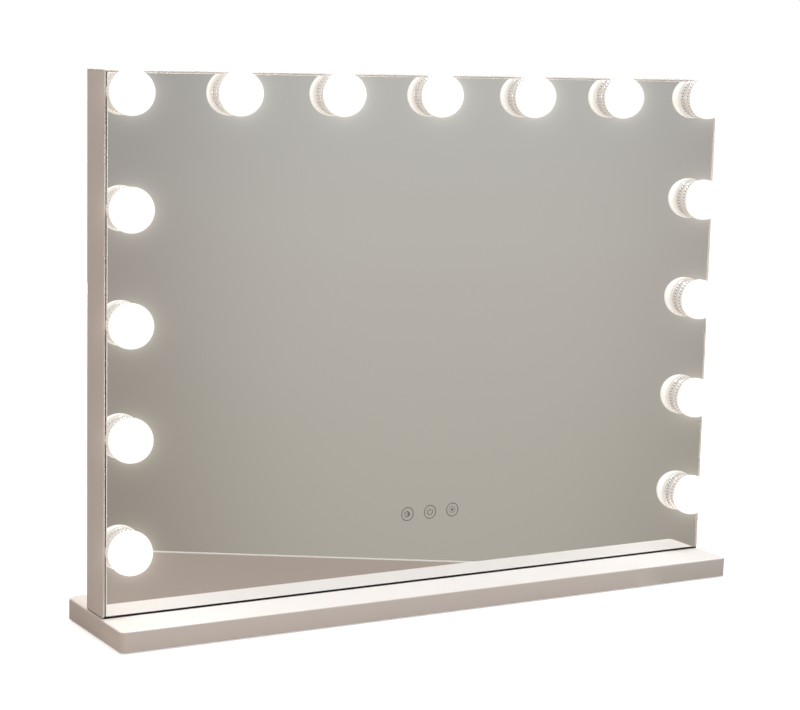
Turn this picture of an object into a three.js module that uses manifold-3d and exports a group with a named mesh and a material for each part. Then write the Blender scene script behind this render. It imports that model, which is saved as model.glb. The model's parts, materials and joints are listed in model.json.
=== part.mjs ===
// Lighted vanity mirror: a framed mirror on a flat base, with fifteen globe bulbs that unscrew.
// Millimetres. +Z is up, the mirror faces -Y, and +X is on the viewer's right.
// The origin is on the table under the middle of the base.

import * as THREE from 'three';
import { mergeVertices } from 'three/addons/utils/BufferGeometryUtils.js';
import Module from 'manifold-3d';

const wasm = await Module();
wasm.setup();

// ---------------------------------------------------------------- driving dimensions

const CLEARANCE = 0.3; // between two pieces that touch
const ROUND_SIDES = 16; // facets round a bulb, a bore or a rod

// Base: a shallow pressed tray, open below, closed by a cover that carries the feet.
const BASE_WIDTH = 583;
const BASE_DEPTH = 120;
const BASE_HEIGHT = 16.8;
const BASE_WALL = 1.2;
const BASE_FRONT_RADIUS = 4;
const BASE_REAR_RADIUS = 11;
const BASE_EDGE_CHAMFER = 0.8;
const FOOT_STAND_OFF = 1.4; // how far the feet lift the tray off the table
const FOOT_RADIUS = 9;
const FOOT_INSET = 20;
const COVER_THICKNESS = 1;
const COVER_ACCESS_RADIUS = 7; // hole that lets a screwdriver reach each base bolt

// Frame: four bent rails, mitred at the corners.
const FRAME_WIDTH = 580;
const FRAME_HEIGHT = 425.5;
const FRAME_DEPTH = 35;
const FRAME_FRONT_Y = -19;
const FRAME_WALL = 1.4;
const LEDGE_OFFSET = 5.9; // from the front of the frame to the ledge that carries the glass
const LEDGE_REACH = 6.4; // from the outside of the frame to the ledge's inner edge
const REAR_FLANGE_OFFSET = 31.5;
const REAR_FLANGE_REACH = 8;
const FLANGE_THICKNESS = 1.3;

// Mirror glass and what lies behind it, given as distances back from the front of the frame.
const GLASS_RECESS = 0.3;
const GLASS_THICKNESS = 4;
const GLASS_SIDE_GAP = 0.9;
const GLASS_BOTTOM_GAP = 1.4;
const GLASS_ARRIS = 0.6;
const GASKET_THICKNESS = 1;
const GASKET_WIDTH = 4.5;
const BACKING_OFFSET = 7.6;
const BACKING_THICKNESS = 3;
const PANEL_OFFSET = 33;
const PANEL_THICKNESS = 0.8;

// Bulbs.
const TOP_BULBS = 7;
const SIDE_BULBS = 4; // on each side, below the corner bulb
const BULB_SIDE_INSET = 18;
const BULB_TOP_INSET = 16.6;
const LOWEST_BULB_HEIGHT = 53.3; // above the bottom of the frame
const GLOBE_RADIUS = 17.8;
const GLOBE_WALL = 1.2;
const GLOBE_STAND_OFF = 10.6; // centre of the globe in front of the frame
const COLLAR_HEIGHT = 7;
const COLLAR_FRONT_RADIUS = 16.8;
const COLLAR_REAR_RADIUS = 16.3;
const LED_DISC_RADIUS = 12;
const LED_DISC_THICKNESS = 1.4;
const NECK_RADIUS = 8;
const NECK_HOLE_RADIUS = 9.5; // in the glass and the backing board
const CONTACT_RADIUS = 4;
const CONTACT_LENGTH = 1;

// Lamp-holder rails: a strip with one screw cup for each bulb.
const HOLDER_OFFSET = 10.9;
const HOLDER_STRIP_THICKNESS = 2;
const HOLDER_STRIP_WIDTH = 16;
const HOLDER_CUP_RADIUS = 10.6;
const HOLDER_CUP_DEPTH = 12.1;
const HOLDER_BORE_RADIUS = 8.8;
const HOLDER_FLOOR = 2.2;

// Touch keys.
const TOUCH_CENTRE_X = 4.7;
const TOUCH_HEIGHT = 59.1; // above the bottom of the frame
const TOUCH_PITCH = 22;
const TOUCH_PAD_RADIUS = 6;

// Hanging keyholes in the back panel.
const KEYHOLE_X = 150;
const KEYHOLE_HEIGHT = 353.5; // centre of the round part above the bottom of the frame
const KEYHOLE_HEAD_RADIUS = 5;
const KEYHOLE_SLOT_WIDTH = 5;
const KEYHOLE_SLOT_LENGTH = 12;

// Sockets.
const JACK_X = 120;
const JACK_HEIGHT = 34;
const JACK_COLLAR_RADIUS = 6;
const JACK_BORE_RADIUS = 3.2;
const USB_HEIGHT = 102.5; // centre above the bottom of the frame
const USB_DEPTH_OFFSET = 27.5; // centre behind the front of the frame
const USB_BODY = { x: 13, y: 6.8, z: 14.4 };
const USB_MOUTH = { x: 11.5, y: 4.8, z: 12.4 };
const USB_BEZEL = { x: 1.1, y: 9.6, z: 18 };

// Base bolts.
const BOLT_X = 200;
const BOLT_RADIUS = 2.4;
const BOLT_HOLE_RADIUS = 2.8;
const BOLT_HEAD_RADIUS = 5;
const BOLT_HEAD_HEIGHT = 3.6;
const BOLT_TIP_LENGTH = 7.5; // past the top of the base
const NUT_RADIUS = 5.6;
const NUT_HEIGHT = 4;

// ---------------------------------------------------------------- levels worked out from them

const BASE_BOTTOM_Z = FOOT_STAND_OFF;
const BASE_TOP_Z = BASE_BOTTOM_Z + BASE_HEIGHT;
const FRAME_BOTTOM_Z = BASE_TOP_Z + CLEARANCE;
const FRAME_TOP_Z = FRAME_BOTTOM_Z + FRAME_HEIGHT;
const FRAME_HALF = FRAME_WIDTH / 2;
const INNER_OFFSET = FRAME_WALL + CLEARANCE; // outside of the frame to a piece lying against its wall

const GLASS_FRONT_Y = FRAME_FRONT_Y + GLASS_RECESS;
const GLASS_BACK_Y = GLASS_FRONT_Y + GLASS_THICKNESS;
const BACKING_FRONT_Y = FRAME_FRONT_Y + BACKING_OFFSET;
const BACKING_BACK_Y = BACKING_FRONT_Y + BACKING_THICKNESS;
const HOLDER_FRONT_Y = FRAME_FRONT_Y + HOLDER_OFFSET;
const HOLDER_BACK_Y = HOLDER_FRONT_Y + HOLDER_CUP_DEPTH;
const PANEL_FRONT_Y = FRAME_FRONT_Y + PANEL_OFFSET;
const PANEL_BACK_Y = PANEL_FRONT_Y + PANEL_THICKNESS;

const GLOBE_CENTRE_Y = FRAME_FRONT_Y - GLOBE_STAND_OFF;
const COLLAR_REAR_Y = FRAME_FRONT_Y - CLEARANCE;
const COLLAR_FRONT_Y = FRAME_FRONT_Y - COLLAR_HEIGHT;

// ---------------------------------------------------------------- colours

const material = (color, roughness, metalness) =>
	new THREE.MeshStandardMaterial({ color, roughness, metalness });

const PAINT = material('#e9e6e3', 0.5, 0.0);
const SILVERED_GLASS = material('#b4b1ad', 0.05, 1.0);
const FROSTED_GLOBE = material('#fffdf6', 0.4, 0.0);
const CHROME = material('#e4e2dd', 0.12, 1.0);
const BLACK_TAPE = material('#1c1c1c', 0.9, 0.0);
const BACKING = material('#cfccc6', 0.8, 0.0);
const WHITE_PLASTIC = material('#efeeea', 0.5, 0.0);
const BLACK_PLASTIC = material('#202020', 0.5, 0.0);
const CIRCUIT_BOARD = material('#1f5b38', 0.5, 0.0);
const WIRE_SLEEVE = material('#2a2a2a', 0.6, 0.0);
const ZINC = material('#b9babb', 0.35, 1.0);
const RUBBER = material('#2b2b2b', 0.9, 0.0);

// ---------------------------------------------------------------- geometry helpers

// Keeps only positions, joins shared vertices, drops empty triangles and turns all faces outward.
function closed(geometry) {
	const bare = geometry.clone();
	bare.deleteAttribute('normal');
	bare.deleteAttribute('uv');
	const merged = mergeVertices(bare, 1e-4);
	const old = merged.index.array;
	const kept = [];
	for (let i = 0; i < old.length; i += 3) {
		const [a, b, c] = [old[i], old[i + 1], old[i + 2]];
		if (a !== b && b !== c && c !== a) kept.push(a, b, c);
	}
	if (signedVolume(merged.attributes.position, kept) < 0) kept.reverse();
	merged.setIndex(kept);
	return merged;
}

function signedVolume(position, index) {
	const [a, b, c] = [new THREE.Vector3(), new THREE.Vector3(), new THREE.Vector3()];
	let sum = 0;
	for (let i = 0; i < index.length; i += 3) {
		a.fromBufferAttribute(position, index[i]);
		b.fromBufferAttribute(position, index[i + 1]);
		c.fromBufferAttribute(position, index[i + 2]);
		sum += a.dot(b.cross(c));
	}
	return sum / 6;
}

function toSolid(geometry) {
	const mesh = closed(geometry);
	return new wasm.Manifold(new wasm.Mesh({
		numProp: 3,
		vertProperties: new Float32Array(mesh.attributes.position.array),
		triVerts: new Uint32Array(mesh.index.array),
	}));
}

function toGeometry(solid) {
	const mesh = solid.getMesh();
	const geometry = new THREE.BufferGeometry();
	geometry.setAttribute('position', new THREE.BufferAttribute(mesh.vertProperties, 3));
	geometry.setIndex(new THREE.BufferAttribute(mesh.triVerts, 1));
	return geometry;
}

const join = (first, ...others) =>
	toGeometry(others.reduce((sum, other) => sum.add(toSolid(other)), toSolid(first)));

const cut = (body, ...tools) =>
	toGeometry(tools.reduce((rest, tool) => rest.subtract(toSolid(tool)), toSolid(body)));

// A box from its lowest and highest corners.
function box([x0, y0, z0], [x1, y1, z1]) {
	const geometry = new THREE.BoxGeometry(x1 - x0, y1 - y0, z1 - z0);
	return geometry.translate((x0 + x1) / 2, (y0 + y1) / 2, (z0 + z1) / 2);
}

const boxAt = (x, y, z, size) =>
	new THREE.BoxGeometry(size.x, size.y, size.z).translate(x, y, z);

// A rod along Y, and a rod along Z.
function rodY(radius, y0, y1, x, z, sides = ROUND_SIDES) {
	return new THREE.CylinderGeometry(radius, radius, y1 - y0, sides).translate(x, (y0 + y1) / 2, z);
}

function rodZ(radius, z0, z1, x, y, sides = ROUND_SIDES) {
	const rod = new THREE.CylinderGeometry(radius, radius, z1 - z0, sides).rotateX(Math.PI / 2);
	return rod.translate(x, y, (z0 + z1) / 2);
}

// A closed skin through rings of equal point count. flatten lays the two end rings on a plane.
function loft(rings, flatten) {
	const count = rings[0].length;
	const points = rings.flat();
	const index = [];
	for (let ring = 0; ring < rings.length - 1; ring++) {
		for (let i = 0; i < count; i++) {
			const a = ring * count + i;
			const b = ring * count + (i + 1) % count;
			index.push(a, b, b + count, a, b + count, a + count);
		}
	}
	const capFaces = THREE.ShapeUtils.triangulateShape(rings[0].map(flatten), []);
	const clockwise = THREE.ShapeUtils.isClockWise(rings[0].map(flatten));
	const last = (rings.length - 1) * count;
	for (const [a, b, c] of capFaces) {
		if (clockwise) {
			index.push(a, b, c, last + c, last + b, last + a);
		} else {
			index.push(a, c, b, last + a, last + b, last + c);
		}
	}
	const geometry = new THREE.BufferGeometry().setFromPoints(points);
	geometry.setIndex(index);
	return geometry;
}

const meshes = new THREE.Group();

function addPiece(name, geometry, look) {
	const mesh = new THREE.Mesh(closed(geometry), look);
	mesh.name = name;
	meshes.add(mesh);
	return mesh;
}

// ---------------------------------------------------------------- bulbs

// Centres of all bulbs: the top row from left to right, then down the left and the right side.
function bulbCentres() {
	const edgeX = FRAME_HALF - BULB_SIDE_INSET;
	const topZ = FRAME_TOP_Z - BULB_TOP_INSET;
	const pitchX = 2 * edgeX / (TOP_BULBS - 1);
	const pitchZ = (topZ - FRAME_BOTTOM_Z - LOWEST_BULB_HEIGHT) / SIDE_BULBS;
	const centres = [];
	for (let i = 0; i < TOP_BULBS; i++) centres.push({ x: -edgeX + i * pitchX, z: topZ });
	for (const x of [-edgeX, edgeX]) {
		for (let i = 1; i <= SIDE_BULBS; i++) centres.push({ x, z: topZ - i * pitchZ });
	}
	return centres;
}

// Points of an arc about the globe's centre, from the front pole back to the rim, as radius and y.
function globeArc(radius, rimDepth, bands) {
	const rimAngle = Math.acos(rimDepth / radius);
	const sweep = Math.PI - rimAngle;
	const points = [];
	for (let i = 0; i <= bands; i++) {
		const angle = sweep * i / bands;
		points.push(new THREE.Vector2(radius * Math.sin(angle), GLOBE_CENTRE_Y - radius * Math.cos(angle)));
	}
	return points;
}

// A thin blown globe, open at the back where it sits on its collar.
function globeShell() {
	const rimY = COLLAR_FRONT_Y - CLEARANCE;
	const rimDepth = rimY - GLOBE_CENTRE_Y;
	const outside = globeArc(GLOBE_RADIUS, rimDepth, 5);
	const inside = globeArc(GLOBE_RADIUS - GLOBE_WALL, rimDepth, 3);
	return new THREE.LatheGeometry([...outside, ...inside.reverse()], ROUND_SIDES);
}

// The chromed collar with its LED disc in front, and the screw neck and contact behind.
function bulbBase() {
	const neckEndY = HOLDER_BACK_Y - HOLDER_FLOOR - CLEARANCE - CONTACT_LENGTH;
	const profile = [
		[0, COLLAR_FRONT_Y - LED_DISC_THICKNESS],
		[LED_DISC_RADIUS, COLLAR_FRONT_Y - LED_DISC_THICKNESS],
		[LED_DISC_RADIUS, COLLAR_FRONT_Y],
		[COLLAR_FRONT_RADIUS, COLLAR_FRONT_Y],
		[COLLAR_REAR_RADIUS, COLLAR_REAR_Y],
		[NECK_RADIUS, COLLAR_REAR_Y],
		[NECK_RADIUS, neckEndY],
		[CONTACT_RADIUS, neckEndY],
		[CONTACT_RADIUS, neckEndY + CONTACT_LENGTH],
		[0, neckEndY + CONTACT_LENGTH],
	];
	return new THREE.LatheGeometry(profile.map(([r, y]) => new THREE.Vector2(r, y)), ROUND_SIDES);
}

const BULBS = bulbCentres();
const globeGeometry = closed(globeShell());
const bulbBaseGeometry = closed(bulbBase());

BULBS.forEach(({ x, z }, i) => {
	const number = String(i + 1).padStart(2, '0');
	addPiece(`bulb_globe_${number}`, globeGeometry, FROSTED_GLOBE).position.set(x, 0, z);
	addPiece(`bulb_base_${number}`, bulbBaseGeometry, CHROME).position.set(x, 0, z);
});

const bulbHoles = (radius, y0, y1) => BULBS.map(({ x, z }) => rodY(radius, y0, y1, x, z));

// ---------------------------------------------------------------- frame

// Half of the section of a rail behind the ledge: [distance in from the outside, y].
const RAIL_BACK = [
	[LEDGE_REACH, FRAME_FRONT_Y + LEDGE_OFFSET],
	[LEDGE_REACH, FRAME_FRONT_Y + LEDGE_OFFSET + FLANGE_THICKNESS],
	[FRAME_WALL, FRAME_FRONT_Y + LEDGE_OFFSET + FLANGE_THICKNESS],
	[FRAME_WALL, FRAME_FRONT_Y + REAR_FLANGE_OFFSET],
	[REAR_FLANGE_REACH, FRAME_FRONT_Y + REAR_FLANGE_OFFSET],
	[REAR_FLANGE_REACH, FRAME_FRONT_Y + REAR_FLANGE_OFFSET + FLANGE_THICKNESS],
	[FRAME_WALL, FRAME_FRONT_Y + REAR_FLANGE_OFFSET + FLANGE_THICKNESS],
	[FRAME_WALL, FRAME_FRONT_Y + FRAME_DEPTH],
	[0, FRAME_FRONT_Y + FRAME_DEPTH],
];

// The side and top rails reach past the glass as a thin lip.
const LIPPED_SECTION = [
	[0, FRAME_FRONT_Y],
	[FRAME_WALL, FRAME_FRONT_Y],
	[FRAME_WALL, FRAME_FRONT_Y + LEDGE_OFFSET],
	...RAIL_BACK,
];

// The bottom rail stops at the ledge, which leaves a dark slot between the glass and the base.
const SILL_SECTION = [[0, FRAME_FRONT_Y + LEDGE_OFFSET], ...RAIL_BACK];

const MITRE_GAP = CLEARANCE / Math.SQRT2;

// place(along, inset, y) puts a point of the rail; from and to are the frame's outside corners.
function rail(section, from, to, place) {
	const ends = [
		section.map(([inset, y]) => place(from + inset + MITRE_GAP, inset, y)),
		section.map(([inset, y]) => place(to - inset - MITRE_GAP, inset, y)),
	];
	const flatPoints = section.map(([inset, y]) => new THREE.Vector2(inset, y));
	return loft(ends, (point) => flatPoints[ends[0].indexOf(point)]);
}

const sideRail = (side) => rail(LIPPED_SECTION, FRAME_BOTTOM_Z, FRAME_TOP_Z,
	(along, inset, y) => new THREE.Vector3(side * (FRAME_HALF - inset), y, along));

const USB_Z = FRAME_BOTTOM_Z + USB_HEIGHT;
const USB_Y = FRAME_FRONT_Y + USB_DEPTH_OFFSET;
const usbWindow = boxAt(FRAME_HALF, USB_Y, USB_Z,
	{ x: 4 * FRAME_WALL, y: USB_BODY.y + 2 * CLEARANCE, z: USB_BODY.z + 2 * CLEARANCE });

const topRail = rail(LIPPED_SECTION, -FRAME_HALF, FRAME_HALF,
	(along, inset, y) => new THREE.Vector3(along, y, FRAME_TOP_Z - inset));
const bottomRail = rail(SILL_SECTION, -FRAME_HALF, FRAME_HALF,
	(along, inset, y) => new THREE.Vector3(along, y, FRAME_BOTTOM_Z + inset));
const sillBoltHoles = [-BOLT_X, BOLT_X].map((x) =>
	rodZ(BOLT_HOLE_RADIUS, FRAME_BOTTOM_Z - 1, FRAME_BOTTOM_Z + FRAME_WALL + 1, x, 0));

addPiece('frame_left', sideRail(-1), PAINT);
addPiece('frame_right', cut(sideRail(1), usbWindow), PAINT);
addPiece('frame_top', topRail, PAINT);
addPiece('frame_bottom', cut(bottomRail, ...sillBoltHoles), PAINT);

// An angle bracket in each inner corner.
function cornerBracket(side, cornerZ, up) {
	const leg = 28;
	const thickness = 2;
	const outline = [[0, 0], [leg, 0], [leg, thickness], [thickness, thickness], [thickness, leg], [0, leg]];
	const ring = (y) => outline.map(([inset, rise]) => new THREE.Vector3(
		side * (FRAME_HALF - INNER_OFFSET - inset), y, cornerZ + up * (INNER_OFFSET + rise)));
	const front = ring(FRAME_FRONT_Y + 24);
	const flat = outline.map(([inset, rise]) => new THREE.Vector2(inset, rise));
	return loft([front, ring(FRAME_FRONT_Y + 30)], (point) => flat[front.indexOf(point)]);
}

addPiece('corner_bracket_top_left', cornerBracket(-1, FRAME_TOP_Z, -1), ZINC);
addPiece('corner_bracket_top_right', cornerBracket(1, FRAME_TOP_Z, -1), ZINC);
addPiece('corner_bracket_bottom_left', cornerBracket(-1, FRAME_BOTTOM_Z, 1), ZINC);
addPiece('corner_bracket_bottom_right', cornerBracket(1, FRAME_BOTTOM_Z, 1), ZINC);

// ---------------------------------------------------------------- glass, tape and boards

const glassHalf = FRAME_HALF - FRAME_WALL - GLASS_SIDE_GAP;
const glassBottom = FRAME_BOTTOM_Z + GLASS_BOTTOM_GAP;
const glassTop = FRAME_TOP_Z - FRAME_WALL - GLASS_SIDE_GAP;

// A rectangle facing -Y, drawn in by inset on all sides.
const glassRing = (y, inset) => [
	new THREE.Vector3(-glassHalf + inset, y, glassBottom + inset),
	new THREE.Vector3(glassHalf - inset, y, glassBottom + inset),
	new THREE.Vector3(glassHalf - inset, y, glassTop - inset),
	new THREE.Vector3(-glassHalf + inset, y, glassTop - inset),
];
const ontoXZ = (point) => new THREE.Vector2(point.x, point.z);

const glassBlank = loft([
	glassRing(GLASS_FRONT_Y, GLASS_ARRIS),
	glassRing(GLASS_FRONT_Y + GLASS_ARRIS, 0),
	glassRing(GLASS_BACK_Y, 0),
], ontoXZ);
addPiece('mirror_glass', cut(glassBlank, ...bulbHoles(NECK_HOLE_RADIUS, -40, 40)), SILVERED_GLASS);

const gasketFrontY = GLASS_BACK_Y + CLEARANCE;
const gasketBackY = gasketFrontY + GASKET_THICKNESS;
const gasketOuter = box([-FRAME_HALF + INNER_OFFSET, gasketFrontY, FRAME_BOTTOM_Z + INNER_OFFSET],
	[FRAME_HALF - INNER_OFFSET, gasketBackY, FRAME_TOP_Z - INNER_OFFSET]);
const gasketReach = INNER_OFFSET + GASKET_WIDTH;
const gasketWindow = box([-FRAME_HALF + gasketReach, gasketFrontY - 1, FRAME_BOTTOM_Z + gasketReach],
	[FRAME_HALF - gasketReach, gasketBackY + 1, FRAME_TOP_Z - gasketReach]);
addPiece('glass_gasket', cut(gasketOuter, gasketWindow), BLACK_TAPE);

const backingBlank = box([-FRAME_HALF + INNER_OFFSET, BACKING_FRONT_Y, FRAME_BOTTOM_Z + INNER_OFFSET],
	[FRAME_HALF - INNER_OFFSET, BACKING_BACK_Y, FRAME_TOP_Z - INNER_OFFSET]);
addPiece('backing_board', cut(backingBlank, ...bulbHoles(NECK_HOLE_RADIUS, -40, 40)), BACKING);

// ---------------------------------------------------------------- lamp holders and wiring

// A strip from one end to the other, with a blind screw cup behind each bulb on it.
function holderRail(bulbs) {
	const xs = bulbs.map((bulb) => bulb.x);
	const zs = bulbs.map((bulb) => bulb.z);
	const half = HOLDER_STRIP_WIDTH / 2;
	const strip = box([Math.min(...xs) - half, HOLDER_FRONT_Y, Math.min(...zs) - half],
		[Math.max(...xs) + half, HOLDER_FRONT_Y + HOLDER_STRIP_THICKNESS, Math.max(...zs) + half]);
	const cups = bulbs.map(({ x, z }) => rodY(HOLDER_CUP_RADIUS, HOLDER_FRONT_Y, HOLDER_BACK_Y, x, z));
	const bores = bulbs.map(({ x, z }) =>
		rodY(HOLDER_BORE_RADIUS, HOLDER_FRONT_Y - 1, HOLDER_BACK_Y - HOLDER_FLOOR, x, z));
	return cut(join(strip, ...cups), ...bores);
}

addPiece('socket_rail_top', holderRail(BULBS.slice(0, TOP_BULBS)), WHITE_PLASTIC);
addPiece('socket_rail_left', holderRail(BULBS.slice(TOP_BULBS, TOP_BULBS + SIDE_BULBS)), WHITE_PLASTIC);
addPiece('socket_rail_right', holderRail(BULBS.slice(TOP_BULBS + SIDE_BULBS)), WHITE_PLASTIC);

// The control board hangs on the back of the backing board, low in the middle.
const BOARD = { left: -45, right: 45, bottom: FRAME_BOTTOM_Z + 20, top: FRAME_BOTTOM_Z + 66 };
const boardFrontY = BACKING_BACK_Y + CLEARANCE;
const boardBackY = boardFrontY + 1.6;

function controlBoard() {
	const onBoard = (x, z, width, height, rise) =>
		box([x - width / 2, boardBackY - 0.5, BOARD.bottom + z - height / 2],
			[x + width / 2, boardBackY + rise, BOARD.bottom + z + height / 2]);
	return join(
		box([BOARD.left, boardFrontY, BOARD.bottom], [BOARD.right, boardBackY, BOARD.top]),
		onBoard(-36, 23, 10, 14, 6), // plug for the wiring harness
		onBoard(-14, 28, 16, 16, 8), // choke
		onBoard(8, 30, 8, 8, 2), // driver chip
		onBoard(8, 12, 14, 8, 3), // dimmer chip
		onBoard(33, 30, 12, 14, 7), // plug for the power inlet
		onBoard(33, 10, 12, 8, 6), // plug for the touch keys
	);
}
addPiece('control_board', controlBoard(), CIRCUIT_BOARD);

// The harness leaves the board's edge and runs behind the lamp-holder cups, up, across and down.
function wiringHarness() {
	const y = HOLDER_BACK_Y + 3;
	const edgeX = FRAME_HALF - BULB_SIDE_INSET;
	const topZ = FRAME_TOP_Z - BULB_TOP_INSET;
	const lowZ = BOARD.bottom + 23;
	const bend = 14;
	const route = [
		[BOARD.left - CLEARANCE, lowZ],
		[-edgeX / 2, lowZ],
		[-edgeX + bend, lowZ],
		[-edgeX, lowZ + bend],
		[-edgeX, (lowZ + topZ) / 2],
		[-edgeX, topZ - bend],
		[-edgeX + bend, topZ],
		[0, topZ],
		[edgeX - bend, topZ],
		[edgeX, topZ - bend],
		[edgeX, (lowZ + topZ) / 2],
		[edgeX, lowZ + bend],
	].map(([x, z]) => new THREE.Vector3(x, y, z));
	const section = new THREE.Shape(new THREE.Path().absarc(0, 0, 2, 0, 2 * Math.PI).getPoints(4));
	return new THREE.ExtrudeGeometry(section, {
		extrudePath: new THREE.CatmullRomCurve3(route, false, 'catmullrom', 0.2),
		steps: 44,
	});
}
addPiece('wiring_harness', wiringHarness(), WIRE_SLEEVE);

// Sensor board of the touch keys: one round pad close behind the glass for each key.
function touchBoard() {
	const z = FRAME_BOTTOM_Z + TOUCH_HEIGHT;
	const padFrontY = GLASS_BACK_Y + CLEARANCE;
	const sheet = box([TOUCH_CENTRE_X - 40, padFrontY + 0.4, z - 13],
		[TOUCH_CENTRE_X + 40, padFrontY + 2, z + 13]);
	const pads = [-1, 0, 1].map((step) =>
		rodY(TOUCH_PAD_RADIUS, padFrontY, padFrontY + 1, TOUCH_CENTRE_X + step * TOUCH_PITCH, z));
	return join(sheet, ...pads);
}
addPiece('touch_sensor_board', touchBoard(), CIRCUIT_BOARD);

// ---------------------------------------------------------------- back panel and sockets

const keyholeZ = FRAME_BOTTOM_Z + KEYHOLE_HEIGHT;
const jackZ = FRAME_BOTTOM_Z + JACK_HEIGHT;

// A round hole for the screw head, with a slot above it for the shank.
function keyhole(x) {
	const [front, back] = [PANEL_FRONT_Y - 1, PANEL_BACK_Y + 1];
	const slotTop = keyholeZ + KEYHOLE_SLOT_LENGTH;
	const half = KEYHOLE_SLOT_WIDTH / 2;
	return join(
		rodY(KEYHOLE_HEAD_RADIUS, front, back, x, keyholeZ),
		box([x - half, front, keyholeZ], [x + half, back, slotTop]),
		rodY(half, front, back, x, slotTop),
	);
}

const panelBlank = box([-FRAME_HALF + INNER_OFFSET, PANEL_FRONT_Y, FRAME_BOTTOM_Z + INNER_OFFSET],
	[FRAME_HALF - INNER_OFFSET, PANEL_BACK_Y, FRAME_TOP_Z - INNER_OFFSET]);
const jackHole = rodY(JACK_COLLAR_RADIUS + CLEARANCE + 0.1, PANEL_FRONT_Y - 1, PANEL_BACK_Y + 1, JACK_X, jackZ);
addPiece('back_panel', cut(panelBlank, keyhole(-KEYHOLE_X), keyhole(KEYHOLE_X), jackHole), PAINT);

function dcJack() {
	const bodyFront = PANEL_FRONT_Y - 12;
	const mouth = PANEL_BACK_Y + 1.5;
	const body = box([JACK_X - 7, bodyFront, jackZ - 6], [JACK_X + 7, PANEL_FRONT_Y - CLEARANCE, jackZ + 6]);
	const collar = rodY(JACK_COLLAR_RADIUS, PANEL_FRONT_Y - 1, mouth, JACK_X, jackZ);
	const bore = rodY(JACK_BORE_RADIUS, bodyFront + 2, mouth + 1, JACK_X, jackZ);
	return cut(join(body, collar), bore);
}
addPiece('dc_jack', dcJack(), BLACK_PLASTIC);

// The body passes through the right rail's window, and its bezel lies on the outside.
function usbPort() {
	const bezelInner = FRAME_HALF + CLEARANCE;
	const bezelOuter = bezelInner + USB_BEZEL.x;
	const body = boxAt(bezelInner - USB_BODY.x / 2 + 0.2, USB_Y, USB_Z, USB_BODY);
	const bezel = boxAt(bezelInner + USB_BEZEL.x / 2, USB_Y, USB_Z, USB_BEZEL);
	const mouth = boxAt(bezelOuter + 1 - USB_MOUTH.x / 2, USB_Y, USB_Z, USB_MOUTH);
	return cut(join(body, bezel), mouth);
}
addPiece('usb_port', usbPort(), BLACK_PLASTIC);

// ---------------------------------------------------------------- base

// Plan outline of the base at height z, drawn in by inset. The rear corners are rounder.
function baseOutline(z, inset) {
	const [halfX, halfY] = [BASE_WIDTH / 2, BASE_DEPTH / 2];
	const corners = [
		{ x: halfX, y: -halfY, radius: BASE_FRONT_RADIUS, start: -90 },
		{ x: halfX, y: halfY, radius: BASE_REAR_RADIUS, start: 0 },
		{ x: -halfX, y: halfY, radius: BASE_REAR_RADIUS, start: 90 },
		{ x: -halfX, y: -halfY, radius: BASE_FRONT_RADIUS, start: 180 },
	];
	const steps = 5;
	return corners.flatMap(({ x, y, radius, start }) => {
		const centreX = x - Math.sign(x) * radius;
		const centreY = y - Math.sign(y) * radius;
		return Array.from({ length: steps + 1 }, (_, i) => {
			const angle = THREE.MathUtils.degToRad(start + 90 * i / steps);
			return new THREE.Vector3(centreX + (radius - inset) * Math.cos(angle),
				centreY + (radius - inset) * Math.sin(angle), z);
		});
	});
}
const ontoXY = (point) => new THREE.Vector2(point.x, point.y);

const boltHole = (radius, x) => rodZ(radius, -1, BASE_TOP_Z + 1, x, 0);

function baseShell() {
	const outside = loft([
		baseOutline(BASE_BOTTOM_Z, 0),
		baseOutline(BASE_TOP_Z - BASE_EDGE_CHAMFER, 0),
		baseOutline(BASE_TOP_Z, BASE_EDGE_CHAMFER),
	], ontoXY);
	const hollow = loft([
		baseOutline(BASE_BOTTOM_Z - 1, BASE_WALL),
		baseOutline(BASE_TOP_Z - BASE_WALL, BASE_WALL),
	], ontoXY);
	return cut(outside, hollow, boltHole(BOLT_HOLE_RADIUS, -BOLT_X), boltHole(BOLT_HOLE_RADIUS, BOLT_X));
}
addPiece('base_shell', baseShell(), PAINT);

const coverBottom = FOOT_STAND_OFF + 2 * CLEARANCE;
const coverInset = BASE_WALL + CLEARANCE;
const coverBlank = loft([
	baseOutline(coverBottom, coverInset),
	baseOutline(coverBottom + COVER_THICKNESS, coverInset),
], ontoXY);
addPiece('base_bottom_cover', cut(coverBlank, boltHole(COVER_ACCESS_RADIUS, -BOLT_X),
	boltHole(COVER_ACCESS_RADIUS, BOLT_X)), PAINT);

for (const [end, sideY] of [['front', -1], ['rear', 1]]) {
	for (const [hand, sideX] of [['left', -1], ['right', 1]]) {
		const x = sideX * (BASE_WIDTH / 2 - FOOT_INSET);
		const y = sideY * (BASE_DEPTH / 2 - FOOT_INSET);
		addPiece(`rubber_foot_${end}_${hand}`, rodZ(FOOT_RADIUS, 0, coverBottom - CLEARANCE, x, y), RUBBER);
	}
}

// Bolts come up through the base into nuts that lie inside the frame's bottom rail.
function baseBolt(x) {
	const headTop = BASE_TOP_Z - BASE_WALL - CLEARANCE;
	return join(
		rodZ(BOLT_HEAD_RADIUS, headTop - BOLT_HEAD_HEIGHT, headTop, x, 0),
		rodZ(BOLT_RADIUS, headTop - 1, BASE_TOP_Z + BOLT_TIP_LENGTH, x, 0),
	);
}

function frameNut(x) {
	const bottom = FRAME_BOTTOM_Z + INNER_OFFSET;
	return cut(
		rodZ(NUT_RADIUS, bottom, bottom + NUT_HEIGHT, x, 0, 6),
		rodZ(BOLT_HOLE_RADIUS, bottom - 1, bottom + NUT_HEIGHT + 1, x, 0),
	);
}

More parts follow.
